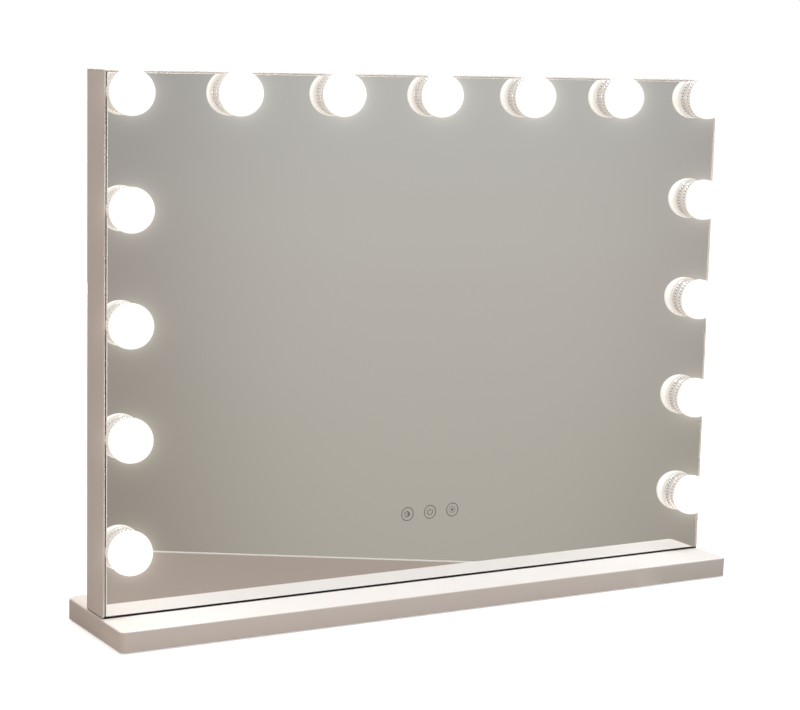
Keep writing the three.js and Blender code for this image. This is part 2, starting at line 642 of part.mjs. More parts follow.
for (const [hand, side] of [['left', -1], ['right', 1]]) {
	addPiece(`base_bolt_${hand}`, baseBolt(side * BOLT_X), ZINC);
	addPiece(`frame_nut_${hand}`, frameNut(side * BOLT_X), ZINC);
}

export default meshes;
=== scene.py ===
"""Looks of a lighted vanity mirror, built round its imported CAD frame.

Metres, +Z up. The mirror faces -Y and +X is on the viewer's right.
"""

import json
import math
import random

import bpy
from mathutils import Matrix, Vector
from mathutils.geometry import tessellate_polygon


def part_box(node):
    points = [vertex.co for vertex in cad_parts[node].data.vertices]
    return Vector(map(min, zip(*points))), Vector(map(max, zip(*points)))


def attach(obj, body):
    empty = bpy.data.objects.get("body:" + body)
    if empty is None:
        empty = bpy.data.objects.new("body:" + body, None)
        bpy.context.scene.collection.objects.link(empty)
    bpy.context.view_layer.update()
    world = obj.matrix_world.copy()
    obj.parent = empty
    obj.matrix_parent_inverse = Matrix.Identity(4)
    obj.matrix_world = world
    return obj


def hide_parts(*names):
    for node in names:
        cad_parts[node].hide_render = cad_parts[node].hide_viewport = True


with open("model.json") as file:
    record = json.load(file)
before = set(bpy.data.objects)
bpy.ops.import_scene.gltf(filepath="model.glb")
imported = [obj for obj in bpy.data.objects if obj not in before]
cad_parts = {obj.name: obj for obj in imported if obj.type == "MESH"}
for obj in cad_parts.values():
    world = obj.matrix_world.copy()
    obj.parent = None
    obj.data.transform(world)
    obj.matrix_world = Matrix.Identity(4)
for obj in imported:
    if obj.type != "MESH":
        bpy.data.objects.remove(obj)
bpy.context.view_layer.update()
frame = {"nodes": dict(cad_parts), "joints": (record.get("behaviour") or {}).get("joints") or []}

MM = 0.001
ROOT = "mirror_body"
RNG = random.Random(15)

# ------------------------------------------------------------------ places, from the frame

FRAME_X = -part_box("frame_left")[0].x
FRAME_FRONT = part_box("frame_left")[0].y
FRAME_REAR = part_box("frame_left")[1].y
FRAME_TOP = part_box("frame_top")[1].z
SEAT_GAP = 0.5 * MM
FRAME_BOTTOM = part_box("frame_bottom")[0].z + SEAT_GAP
BASE_LOW, BASE_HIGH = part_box("base_shell")
GLASS_LOW, GLASS_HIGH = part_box("mirror_glass")
PANEL_LOW, PANEL_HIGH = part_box("back_panel")
COVER_LOW, COVER_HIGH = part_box("base_bottom_cover")
JACK_LOW, JACK_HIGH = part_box("dc_jack")
USB_LOW, USB_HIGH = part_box("usb_port")
TOUCH_LOW, TOUCH_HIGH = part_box("touch_sensor_board")
BULB_JOINTS = [joint for joint in frame["joints"] if joint["name"].startswith("bulb_")]

# ------------------------------------------------------------------ materials


class Nodes:
    """A small helper round a node tree: add nodes, link sockets, mix colours."""

    def __init__(self, tree):
        self.tree = tree
        tree.nodes.clear()

    def add(self, kind, **inputs):
        node = self.tree.nodes.new(kind)
        for name, value in inputs.items():
            node.inputs[name.replace("_", " ")].default_value = value
        return node

    def link(self, source, target):
        self.tree.links.new(source, target)

    def noise(self, coords, scale, detail=3.0):
        node = self.add("ShaderNodeTexNoise", Scale=scale, Detail=detail)
        self.link(coords, node.inputs["Vector"])
        return node.outputs["Fac"]

    def remap(self, value, low, high, source=(0.0, 1.0)):
        node = self.add("ShaderNodeMapRange")
        node.inputs["From Min"].default_value = source[0]
        node.inputs["From Max"].default_value = source[1]
        node.inputs["To Min"].default_value = low
        node.inputs["To Max"].default_value = high
        self.link(value, node.inputs["Value"])
        return node.outputs["Result"]

    def mix(self, factor, first, second):
        node = self.add("ShaderNodeMix")
        node.data_type = "RGBA"
        self.link(factor, node.inputs[0])
        for socket, value in ((node.inputs[6], first), (node.inputs[7], second)):
            if isinstance(value, tuple):
                socket.default_value = (*value, 1.0)
            else:
                self.link(value, socket)
        return node.outputs[2]


def surface(name, color, roughness, metallic=0.0, tint=None, grain=60.0, rough_spread=0.06,
            bump_scale=900.0, bump_depth=0.02, **extra):
    """A principled material with fine variation of colour and roughness, and a small bump."""
    material = bpy.data.materials.new(name)
    material.use_nodes = True
    nodes = Nodes(material.node_tree)
    shader = nodes.add("ShaderNodeBsdfPrincipled", Metallic=metallic)
    for socket, value in extra.items():
        shader.inputs[socket.replace("_", " ")].default_value = value
    output = nodes.add("ShaderNodeOutputMaterial")
    nodes.link(shader.outputs["BSDF"], output.inputs["Surface"])
    coords = nodes.add("ShaderNodeTexCoord").outputs["Object"]
    grain_noise = nodes.noise(coords, grain, 4.0)
    nodes.link(nodes.mix(grain_noise, color, tint or tuple(0.93 * c for c in color)),
               shader.inputs["Base Color"])
    wear = nodes.noise(coords, 2.3 * grain, 5.0)
    nodes.link(nodes.remap(wear, roughness - rough_spread, roughness + rough_spread),
               shader.inputs["Roughness"])
    if bump_depth:
        bump = nodes.add("ShaderNodeBump", Strength=1.0, Distance=bump_depth * MM)
        nodes.link(nodes.noise(coords, bump_scale, 2.0), bump.inputs["Height"])
        nodes.link(bump.outputs["Normal"], shader.inputs["Normal"])
    return material


def globe_material():
    """Frosted white plastic lit from inside under a satin skin, a little dimmer at the collar."""
    material = bpy.data.materials.new("frosted_lit_globe")
    material.use_nodes = True
    nodes = Nodes(material.node_tree)
    shader = nodes.add("ShaderNodeBsdfPrincipled", Roughness=0.4)
    shader.inputs["Coat Weight"].default_value = 1.0
    shader.inputs["Coat Roughness"].default_value = 0.2
    shader.inputs["Emission Strength"].default_value = 0.9
    output = nodes.add("ShaderNodeOutputMaterial")
    nodes.link(shader.outputs["BSDF"], output.inputs["Surface"])
    coords = nodes.add("ShaderNodeTexCoord").outputs["Object"]
    split = nodes.add("ShaderNodeSeparateXYZ")
    nodes.link(coords, split.inputs["Vector"])
    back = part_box("bulb_globe_01")[1].y
    depth = nodes.remap(split.outputs["Y"], 1.0, 0.0, (back - 0.004, back))
    speckle = nodes.noise(coords, 700.0)
    nodes.link(nodes.mix(speckle, (0.36, 0.35, 0.335), (0.39, 0.38, 0.365)), shader.inputs["Base Color"])
    nodes.link(nodes.mix(depth, (0.78, 0.70, 0.62), (1.0, 0.975, 0.93)), shader.inputs["Emission Color"])
    return material


PAINT = surface("satin_white_paint", (0.82, 0.77, 0.735), 0.42, tint=(0.795, 0.745, 0.71), grain=35.0,
                bump_scale=1500.0, bump_depth=0.012, Coat_Weight=0.15, Coat_Roughness=0.25)
GLOBE = globe_material()
# The chrome's faint emission is a painted glow: the collar sits in the globe's light but is no lamp.
CHROME = surface("polished_chrome_painted_glow", (0.95, 0.93, 0.92), 0.1, 1.0, grain=300.0, rough_spread=0.03,
                 bump_depth=0.0, Emission_Color=(1.0, 0.95, 0.93, 1.0), Emission_Strength=0.22)
# Darker, browner chrome for the faces between the collar ribs: painted shade in the rib valleys.
RIB_VALLEY_PAINTED_SHADE = surface("chrome_painted_shade_between_ribs", (0.46, 0.39, 0.37), 0.25, 1.0, grain=300.0)
NICKEL = surface("nickel_screw_cap", (0.72, 0.70, 0.66), 0.28, 1.0, grain=250.0)
SILVER = surface("silvered_glass", (0.92, 0.925, 0.92), 0.008, 1.0, tint=(0.91, 0.915, 0.91), grain=9.0,
                 rough_spread=0.006, bump_depth=0.0)
# The arris's near-white colour and faint emission are a painted highlight for the light the polished edge
# catches.
GLASS_ARRIS_PAINTED_HIGHLIGHT = surface("glass_arris_painted_highlight", (0.98, 0.95, 0.93), 0.22, tint=(0.92, 0.92, 0.90),
                      grain=150.0, bump_depth=0.0, IOR=1.52,
                      Emission_Color=(1.0, 0.97, 0.94, 1.0), Emission_Strength=0.2)
GLASS_EDGE = surface("cut_glass_edge", (0.075, 0.10, 0.085), 0.18, tint=(0.05, 0.075, 0.065),
                     grain=150.0, bump_scale=600.0, bump_depth=0.01, IOR=1.52)
ICON = surface("etched_key_mark", (0.27, 0.255, 0.23), 0.55, grain=400.0, bump_depth=0.005)
TAPE = surface("black_foam_tape", (0.010, 0.010, 0.010), 0.9, grain=800.0, bump_scale=1800.0,
               bump_depth=0.15)
BOARD = surface("grey_backing_board", (0.42, 0.40, 0.36), 0.8, tint=(0.34, 0.32, 0.29), grain=120.0,
                bump_scale=700.0, bump_depth=0.06)
WHITE_PLASTIC = surface("white_moulded_plastic", (0.80, 0.80, 0.78), 0.45, grain=90.0)
BLACK_PLASTIC = surface("black_moulded_plastic", (0.022, 0.022, 0.023), 0.42, tint=(0.035, 0.035, 0.036),
                        grain=160.0, bump_scale=2200.0, bump_depth=0.03)
CIRCUIT = surface("green_circuit_board", (0.015, 0.11, 0.045), 0.35, tint=(0.03, 0.17, 0.07), grain=420.0)
SLEEVE = surface("braided_wire_sleeve", (0.02, 0.02, 0.02), 0.6, tint=(0.06, 0.06, 0.06), grain=900.0,
                 bump_scale=1400.0, bump_depth=0.2)
ZINC = surface("zinc_plated_steel", (0.56, 0.56, 0.55), 0.35, 0.95, tint=(0.45, 0.45, 0.43), grain=220.0)
STEEL = surface("bright_steel", (0.62, 0.61, 0.60), 0.25, 1.0, grain=260.0)
GOLD = surface("gilt_contact", (0.85, 0.62, 0.25), 0.25, 1.0, grain=300.0)
RUBBER = surface("black_rubber", (0.02, 0.02, 0.02), 0.85, tint=(0.035, 0.034, 0.033), grain=260.0,
                 bump_scale=1200.0, bump_depth=0.08)

# ------------------------------------------------------------------ mesh helpers

FLAT_AREA = 5e-4  # square metres. A larger face is shaded flat.


def mesh_data(name, points, faces, sharp_angle=35.0):
    """A mesh with smooth small faces and flat large ones, so that big flats shade evenly."""
    mesh = bpy.data.meshes.new(name)
    mesh.from_pydata([tuple(p) for p in points], [], faces)
    mesh.validate()
    mesh.polygons.foreach_set("use_smooth", [face.area < FLAT_AREA for face in mesh.polygons])
    mesh.set_sharp_from_angle(angle=math.radians(sharp_angle))
    mesh.update()
    return mesh


def place(name, mesh, material, body=ROOT, stands_for=(), matrix=None):
    """Links a mesh as a named piece, gives it a material and lets it ride on its body."""
    piece = bpy.data.objects.new(name, mesh)
    bpy.context.scene.collection.objects.link(piece)
    if not mesh.materials:
        mesh.materials.append(material)
    if matrix is not None:
        piece.matrix_world = matrix
    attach(piece, body)
    if stands_for:
        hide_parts(*stands_for)
    return piece


def loft_faces(ring_count, size):
    """Faces through rings of equal size, with both ends capped."""
    faces = []
    for ring in range(ring_count - 1):
        low = ring * size
        high = low + size
        for i in range(size):
            j = (i + 1) % size
            faces.append((low + i, low + j, high + j, high + i))
    last = (ring_count - 1) * size
    faces.append(tuple(reversed(range(size))))
    faces.append(tuple(range(last, last + size)))
    return faces


def outward(points, faces):
    """Turns all faces round if their volume is negative."""
    volume = 0.0
    for face in faces:
        a = Vector(points[face[0]])
        for i in range(1, len(face) - 1):
            volume += a.dot(Vector(points[face[i]]).cross(Vector(points[face[i + 1]])))
    return faces if volume > 0 else [tuple(reversed(face)) for face in faces]


def loft(name, rings, sharp_angle=35.0):
    """A mesh through rings of points, with both ends capped."""
    points = [p for ring in rings for p in ring]
    faces = outward(points, loft_faces(len(rings), len(rings[0])))
    return mesh_data(name, points, faces, sharp_angle)


def fillet(corners, steps=4):
    """Points of a closed outline. Each corner is (u, v, radius), and a radius of 0 stays sharp."""
    points = []
    for i, (u, v, radius) in enumerate(corners):
        here = Vector((u, v))
        if radius <= 0:
            points.append(here)
            continue
        before = (Vector(corners[i - 1][:2]) - here).normalized()
        after = (Vector(corners[(i + 1) % len(corners)][:2]) - here).normalized()
        half = before.angle(after) / 2
        reach = radius / math.tan(half)
        centre = here + (before + after).normalized() * radius / math.sin(half)
        start = here + before * reach - centre
        end = here + after * reach - centre
        turn = start.angle_signed(end)
        for step in range(steps + 1):
            swing = Matrix.Rotation(-turn * step / steps, 2)
            points.append(centre + swing @ start)
    return points


def revolve(name, profile, segments=64, shape=None, sharp_angle=35.0):
    """Turns (radius, y) points round the Y axis. shape(radius, y, angle) may change the radius."""
    points = []
    rings = []
    for radius, y in profile:
        if radius < 1e-7:
            rings.append([len(points)])
            points.append((0.0, y, 0.0))
            continue
        ring = []
        for i in range(segments):
            angle = 2 * math.pi * i / segments
            r = shape(radius, y, angle) if shape else radius
            ring.append(len(points))
            points.append((r * math.cos(angle), y, r * math.sin(angle)))
        rings.append(ring)
    faces = []
    for low, high in zip(rings, rings[1:]):
        for i in range(segments):
            j = (i + 1) % segments
            if len(low) == 1 and len(high) > 1:
                faces.append((low[0], high[j], high[i]))
            elif len(high) == 1 and len(low) > 1:
                faces.append((low[i], low[j], high[0]))
            elif len(low) > 1:
                faces.append((low[i], low[j], high[j], high[i]))
    return mesh_data(name, points, outward(points, faces), sharp_angle)


def shift_loop(loop, inset):
    """An outline drawn in by inset, where its solid side is on the left of its direction."""
    moved = []
    for i, here in enumerate(loop):
        along_in = (here - loop[i - 1]).normalized()
        along_out = (loop[(i + 1) % len(loop)] - here).normalized()
        normal_in = Vector((-along_in.y, along_in.x))
        normal_out = Vector((-along_out.y, along_out.x))
        middle = (normal_in + normal_out).normalized()
        moved.append(here + middle * inset / max(0.3, middle.dot(normal_in)))
    return moved


def slab(name, loops, levels, lift, sharp_angle=35.0):
    """A plate with holes. loops[0] is the outline and the others are holes.

    levels are (inset, height) pairs from face to face, and lift(u, v, height) places a point.
    """
    points = []
    faces = []
    starts = []
    for loop in loops:
        starts.append(len(points))
        for inset, height in levels:
            points += [lift(p.x, p.y, height) for p in shift_loop(loop, inset)]
        size = len(loop)
        for level in range(len(levels) - 1):
            low = starts[-1] + level * size
            for i in range(size):
                j = (i + 1) % size
                faces.append((low + i, low + j, low + size + j, low + size + i))
    owner = [(k, i) for k, loop in enumerate(loops) for i in range(len(loop))]
    for level, upward in ((0, False), (len(levels) - 1, True)):
        moved = [shift_loop(loop, levels[level][0]) for loop in loops]
        for triangle in tessellate_polygon([[p.to_3d() for p in loop] for loop in moved]):
            corners = [owner[i] for i in triangle]
            a, b, c = (moved[k][i] for k, i in corners)
            if ((b - a).cross(c - a) > 0) != upward:
                corners.reverse()
            faces.append(tuple(starts[k] + level * len(loops[k]) + i for k, i in corners))
    mesh = mesh_data(name, points, outward(points, faces), sharp_angle)
    across = Vector(lift(0, 0, 1))
    for face in mesh.polygons:
        if abs(face.normal.dot(across)) > 0.999:
            face.use_smooth = False
    return mesh


def circle(u, v, radius, count=48, hole=True):
    """A round loop, turned clockwise when it is a hole."""
    turn = -1 if hole else 1
    angles = [turn * 2 * math.pi * i / count for i in range(count)]
    return [Vector((u + radius * math.cos(a), v + radius * math.sin(a))) for a in angles]


def rectangle(u0, v0, u1, v1, radius, steps=5):
    """A closed rectangle with rounded corners."""
    corners = [(u0, v0, radius), (u1, v0, radius), (u1, v1, radius), (u0, v1, radius)]
    return fillet(corners, steps)


def facing_front(u, v, height):
    """Lays a plate in the XZ plane, with height along Y."""
    return (u, height, v)


def facing_up(u, v, height):
    """Lays a plate in the XY plane, with height along Z."""
    return (u, v, height)


def facing_right(u, v, height):
    """Lays a plate in the YZ plane, with height along X."""
    return (height, u, v)


def soft_edges(low, high, radius):
    """Levels of a plate whose two rims are rounded by radius."""
    steps = 3
    levels = []
    for i in range(steps + 1):
        angle = math.pi / 2 * i / steps
        levels.append((radius * (1 - math.sin(angle)), low + radius * (1 - math.cos(angle))))
    return levels + [(inset, high + low - height) for inset, height in reversed(levels)]


# ------------------------------------------------------------------ frame rails

LIP = 1.4 * MM
LEDGE = FRAME_FRONT + 5.9 * MM
LEDGE_REACH = 6.4 * MM
FLANGE = 1.3 * MM
REAR_FLANGE = FRAME_FRONT + 31.5 * MM
REAR_REACH = 8 * MM
MITRE = 0.03 * MM


def rail_section(lipped):
    """Outline of a rail as (inset from the outside of the frame, y, corner radius)."""
    soft = 0.4 * MM
    tight = 0.25 * MM
    if lipped:
        front = [(0, FRAME_FRONT, soft), (LIP, FRAME_FRONT, soft), (LIP, LEDGE, tight)]
    else:
        front = [(0, LEDGE, tight)]
    back = [
        (LEDGE_REACH, LEDGE, tight), (LEDGE_REACH, LEDGE + FLANGE, tight), (LIP, LEDGE + FLANGE, tight),
        (LIP, REAR_FLANGE, tight), (REAR_REACH, REAR_FLANGE, tight),
        (REAR_REACH, REAR_FLANGE + FLANGE, tight), (LIP, REAR_FLANGE + FLANGE, tight),
        (LIP, FRAME_REAR, soft), (0, FRAME_REAR, soft),
    ]
    return fillet(front + back)


def rail(name, lipped, start, end, point):
    """One rail from start to end. point(along, inset, y) places a point of its section."""
    section = rail_section(lipped)
    rings = [
        [point(start + p.x + MITRE, p.x, p.y) for p in section],
        [point(end - p.x - MITRE, p.x, p.y) for p in section],
    ]
    place(name + "_rail", loft(name + "_rail", rings), PAINT, stands_for=[name])


def frame_rails():
    """Four mitred rails. The bottom one has no lip in front of the glass."""
    rail("frame_left", True, FRAME_BOTTOM, FRAME_TOP, lambda s, inset, y: (-FRAME_X + inset, y, s))
    rail("frame_top", True, -FRAME_X, FRAME_X, lambda s, inset, y: (s, y, FRAME_TOP - inset))
    rail("frame_bottom", False, -FRAME_X, FRAME_X, lambda s, inset, y: (s, y, FRAME_BOTTOM + inset))
    rail("frame_right", True, FRAME_BOTTOM, FRAME_TOP, lambda s, inset, y: (FRAME_X - inset, y, s))


frame_rails()

# ------------------------------------------------------------------ mirror glass

NECK_HOLE = 9.5 * MM
ARRIS = 0.6 * MM
PANE_CORNER = 0.6 * MM
# How far the pane's edges sit to the right of, or above, the CAD glass.
PANE_SHIFT_LEFT = 0.25 * MM
PANE_SHIFT_RIGHT = 0.5 * MM
PANE_SHIFT_TOP = 0.75 * MM


def glass_pane():
    """A slab with a polished arris and a hole for each bulb. Its front is silvered.

    The pane sits high and to the right in its frame, so its gap shows most on the left.
    """
    left, right = GLASS_LOW.x + PANE_SHIFT_LEFT, GLASS_HIGH.x + PANE_SHIFT_RIGHT
    outline = rectangle(left, GLASS_LOW.z, right, GLASS_HIGH.z + PANE_SHIFT_TOP, PANE_CORNER, 3)
    holes = [circle(j["pos_m"][0], j["pos_m"][2], NECK_HOLE) for j in BULB_JOINTS]
    rear_arris = 0.3 * MM
    levels = [(ARRIS, GLASS_LOW.y), (0.0, GLASS_LOW.y + 0.8 * ARRIS), (0.0, GLASS_HIGH.y - rear_arris),
              (rear_arris, GLASS_HIGH.y)]
    mesh = slab("mirror_pane", [outline, *holes], levels, facing_front, sharp_angle=20.0)
    for material in (SILVER, GLASS_ARRIS_PAINTED_HIGHLIGHT, GLASS_EDGE):
        mesh.materials.append(material)
    for face in mesh.polygons:
        if face.normal.y < -0.999:
            face.material_index = 0
            face.use_smooth = False
        elif face.normal.y < -0.2:
            face.material_index = 1
        else:
            face.material_index = 2
    place("mirror_pane", mesh, SILVER, stands_for=["mirror_glass"])


glass_pane()

# ------------------------------------------------------------------ touch keys

KEY_PITCH = 22 * MM
KEY_RADIUS = 5.6 * MM
KEY_LINE = 0.8 * MM
KEY_PROUD = 0.04 * MM


def ribbon(points, width, closed=False):
    """Two edges of a flat line of the given width along points."""
    left, right = [], []
    count = len(points)
    for i, here in enumerate(points):
        before = points[i - 1] if closed or i else here
        after = points[(i + 1) % count] if closed or i < count - 1 else here
        along = (after - before).normalized()
        side = Vector((-along.y, along.x)) * width / 2
        left.append(here + side)
        right.append(here - side)
    return left, right


def arc(u, v, radius, start, end, count=24):
    """Points of an arc between two angles in degrees."""
    angles = [math.radians(start + (end - start) * i / count) for i in range(count + 1)]
    return [Vector((u + radius * math.cos(a), v + radius * math.sin(a))) for a in angles]


def key_mark(name, u, v, lines, patches):
    """One etched key: a ring with open lines and filled patches in it, a hair proud of the glass."""
    points = []
    faces = []

    def raise_outline(outline):
        low = len(points)
        size = len(outline)
        points.extend((p.x, GLASS_LOW.y, p.y) for p in outline)
        points.extend((p.x, GLASS_LOW.y - KEY_PROUD, p.y) for p in outline)
        part = [(low + i, low + (i + 1) % size, low + size + (i + 1) % size, low + size + i)
                for i in range(size)]
        part.append(tuple(reversed(range(low, low + size))))
        part.append(tuple(range(low + size, low + 2 * size)))
        faces.extend(outward(points, part))

    def raise_ring(loop):
        outer, inner = ribbon(loop, KEY_LINE, closed=True)
        size = len(loop)
        low = len(points)
        for ring, depth in ((outer, 0.0), (outer, KEY_PROUD), (inner, KEY_PROUD), (inner, 0.0)):
            points.extend((p.x, GLASS_LOW.y - depth, p.y) for p in ring)
        part = []
        for k in range(4):
            a, b = low + k * size, low + (k + 1) % 4 * size
            part += [(a + i, a + (i + 1) % size, b + (i + 1) % size, b + i) for i in range(size)]
        faces.extend(outward(points, part))

    raise_ring(arc(u, v, KEY_RADIUS, 0, 360 - 7.5, 47))
    for line in lines:
        left, right = ribbon(line, KEY_LINE)
        raise_outline(left + right[::-1])
    for patch in patches:
        raise_outline(patch)
    place(name, mesh_data(name, points, faces), ICON)


def touch_keys():
    """Colour temperature, power and brightness."""
    u = (TOUCH_LOW.x + TOUCH_HIGH.x) / 2
    v = (TOUCH_LOW.z + TOUCH_HIGH.z) / 2
    left, right = u - KEY_PITCH, u + KEY_PITCH
    small = 2.5 * MM
    half_disc = arc(left, v, small, -90, 90, 16)
    key_mark("key_colour_mark", left, v, [arc(left, v, small, 90, 270)], [half_disc])
    stem = [Vector((u, v + 0.4 * MM)), Vector((u, v + 3.0 * MM))]
    key_mark("key_power_mark", u, v, [arc(u, v, small, 125, 415), stem], [])
    rays = []
    for i in range(8):
        way = Vector((math.cos(math.pi / 4 * i), math.sin(math.pi / 4 * i)))
        centre = Vector((right, v))
        rays.append([centre + way * 2.2 * MM, centre + way * 3.3 * MM])
    key_mark("key_brightness_mark", right, v, rays, [circle(right, v, 1.3 * MM, 20, hole=False)])


touch_keys()

# ------------------------------------------------------------------ bulbs

GLOBE_CENTRE = BULB_JOINTS[0]["pos_m"][1]
GLOBE_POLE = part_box("bulb_globe_01")[0].y
GLOBE_RADIUS = GLOBE_CENTRE - GLOBE_POLE
COLLAR_FRONT = FRAME_FRONT - 7 * MM
COLLAR_REAR = FRAME_FRONT - 0.08 * MM
CONTACT_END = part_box("bulb_base_01")[1].y
RIBS = 36
RIB_DEPTH = 0.7 * MM
CAP_RADIUS = 7.7 * MM
THREAD_PITCH = 2.0 * MM
THREAD_DEPTH = 0.27 * MM


def globe_mesh():
    """A blown frosted globe whose rim turns in to a short neck, open at the back."""
    rim = COLLAR_FRONT - 1.1 * MM
    neck = COLLAR_FRONT - 0.12 * MM
    neck_radius = 15.6 * MM
    wall = 1.2 * MM
    bands = 30

    def sweep(radius):
        last = math.pi - math.acos((rim - GLOBE_CENTRE) / radius)
        return [(radius * math.sin(last * i / bands), GLOBE_CENTRE - radius * math.cos(last * i / bands))
                for i in range(bands + 1)]

    outside = sweep(GLOBE_RADIUS)
    inside = sweep(GLOBE_RADIUS - wall)
    outside[0] = (0.0, outside[0][1])
    inside[0] = (0.0, inside[0][1])
    outside += [(16.4 * MM, rim + 0.35 * MM), (neck_radius, rim + 0.5 * MM), (neck_radius, neck)]
    inside += [(neck_radius - wall, rim + 0.1 * MM), (neck_radius - wall, neck)]
    return revolve("globe", outside + inside[::-1], 64, sharp_angle=50.0)


def collar_mesh():
    """A chromed collar with fine ribs between two plain rims, and a low disc inside the globe."""
    front, rear = COLLAR_FRONT, COLLAR_REAR
    profile = [(r * MM, y) for r, y in (
        (0.0, front - 1.4 * MM), (11.6, front - 1.4 * MM), (12.0, front - 1.2 * MM), (12.0, front),
        (15.7, front), (15.9, front + 0.1 * MM), (15.9, front + 0.9 * MM), (16.5, front + 0.95 * MM),
        (16.75, front + 1.1 * MM), (16.8, front + 1.3 * MM), (16.8, front + 1.7 * MM),
        (16.6, front + 1.95 * MM), (16.5, front + 2.2 * MM), (16.5, front + 3.2 * MM),
        (16.5, front + 4.2 * MM), (16.5, front + 5.2 * MM), (16.55, front + 5.5 * MM),
        (16.7, front + 5.75 * MM), (16.7, rear - 0.3 * MM), (16.6, rear - 0.08 * MM), (16.4, rear),
        (8.2, rear), (8.0, rear + 0.2 * MM), (0.0, rear + 0.2 * MM))]

    def ribbed(radius, y, angle):
        if not front + 2.1 * MM < y < front + 5.3 * MM or radius < 16 * MM:
            return radius
        wave = 0.5 + 0.5 * math.cos(RIBS * angle)
        return radius - RIB_DEPTH * (1 - wave ** 0.6)

    mesh = revolve("collar", profile, RIBS * 8, ribbed, 40.0)
    for material in (CHROME, BLACK_PLASTIC, RIB_VALLEY_PAINTED_SHADE):
        mesh.materials.append(material)
    for face in mesh.polygons:
        reach = math.hypot(face.center.x, face.center.z)
        # Black plastic on the collar's front ring and the groove next to the globe is painted shade for the
        # dark gap line there.
        in_painted_shade_groove = 12.1 * MM < reach < 16.3 * MM and face.center.y < front + 0.94 * MM
        # Faces down in the rib valleys take the darker chrome, which is painted shade.
        in_painted_shade_valley = 15 * MM < reach < 16.1 * MM and face.center.y < rear - 0.5 * MM
        if in_painted_shade_groove:
            face.material_index = 1
        elif in_painted_shade_valley:
            face.material_index = 2
    return mesh


def screw_cap_mesh():
    """The threaded neck and its centre contact."""
    start = COLLAR_REAR + 0.25 * MM
    shoulder = CONTACT_END - 1.3 * MM
    rows = 64
    profile = [(0.0, start), (7.6 * MM, start)]
    profile += [(CAP_RADIUS, start + (shoulder - start) * (i + 1) / (rows + 1)) for i in range(rows)]
    profile += [(7.3 * MM, shoulder), (6.6 * MM, shoulder + 0.3 * MM), (4.0 * MM, shoulder + 0.3 * MM),
                (3.9 * MM, CONTACT_END - 0.15 * MM), (3.6 * MM, CONTACT_END), (0.0, CONTACT_END)]

    def threaded(radius, y, angle):
        if abs(radius - CAP_RADIUS) > 0.01 * MM:
            return radius
        ends = min(1.0, (y - start) / MM, (shoulder - y) / MM)
        return radius + THREAD_DEPTH * ends * math.cos(2 * math.pi * y / THREAD_PITCH - angle)

    return revolve("screw_cap", profile, 72, threaded, 60.0)


def bulbs():
    """Every bulb shares three meshes and rides on its own body."""
    globe, collar, cap = globe_mesh(), collar_mesh(), screw_cap_mesh()
    for joint in BULB_JOINTS:
        body = joint["child"]
        number = body[-2:]
        x, _, z = joint["pos_m"]
        matrix = Matrix.Translation((x, 0, z))
        shell = place("lamp_globe_" + number, globe, GLOBE, body,
                      ["bulb_globe_" + number], matrix)
        shell.visible_shadow = False
        place("lamp_collar_" + number, collar, CHROME, body, ["bulb_base_" + number], matrix)
        place("lamp_screw_cap_" + number, cap, NICKEL, body, [], matrix)


bulbs()

# ------------------------------------------------------------------ base

BASE_WALL = 1.2 * MM
FRONT_CORNER = 4 * MM
REAR_CORNER = 11 * MM
BOLT_HOLES = [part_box("base_bolt_left"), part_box("base_bolt_right")]


def base_loop(inset):
    """Plan outline of the base. The rear corners are rounder than the front ones."""
    x, y = BASE_HIGH.x - inset, BASE_HIGH.y - inset
    front, rear = FRONT_CORNER - inset, REAR_CORNER - inset
    return fillet([(-x, -y, front), (x, -y, front), (x, y, rear), (-x, y, rear)], 10)


def base_tray():
    """The pressed tray, open below, with a rounded top rim."""
    top, bottom = BASE_HIGH.z, BASE_LOW.z
    top_round = 1.3 * MM
    low_round = 0.25 * MM
    steps = 6
    levels = [(BASE_WALL, top - BASE_WALL), (BASE_WALL, bottom), (low_round, bottom),
              (0.0, bottom + low_round)]
    for i in range(steps + 1):
        angle = math.pi / 2 * i / steps
        levels.append((top_round * (1 - math.cos(angle)), top - top_round * (1 - math.sin(angle))))
    rings = [[(p.x, p.y, z) for p in base_loop(inset)] for inset, z in levels]
    place("base_tray", loft("base_tray", rings, 40.0), PAINT, stands_for=["base_shell"])


def painted_shade_strip():
    """A black strip between frame and base, put where there is only shade: painted shade for the dark line
    under the glass.
    """
    inset = 0.4 * MM
    corner = 0.5 * MM
    soft = 0.1 * MM
    outline = rectangle(inset - FRAME_X, FRAME_FRONT + inset, FRAME_X - inset, FRAME_REAR - inset, corner)
    levels = soft_edges(BASE_HIGH.z, FRAME_BOTTOM + 0.1 * MM, soft)
    mesh = slab("frame_painted_shade_strip", [outline], levels, facing_up)
    place("frame_painted_shade_strip", mesh, TAPE)


def base_cover():
    """The plate under the base, with a hole below each frame bolt."""
    loop = base_loop(BASE_HIGH.x - COVER_HIGH.x)
    access = 7 * MM
    holes = [circle((low.x + high.x) / 2, (low.y + high.y) / 2, access) for low, high in BOLT_HOLES]
    levels = soft_edges(COVER_LOW.z, COVER_HIGH.z, 0.2 * MM)
    mesh = slab("base_cover_plate", [loop, *holes], levels, facing_up)
    place("base_cover_plate", mesh, PAINT, stands_for=["base_bottom_cover"])


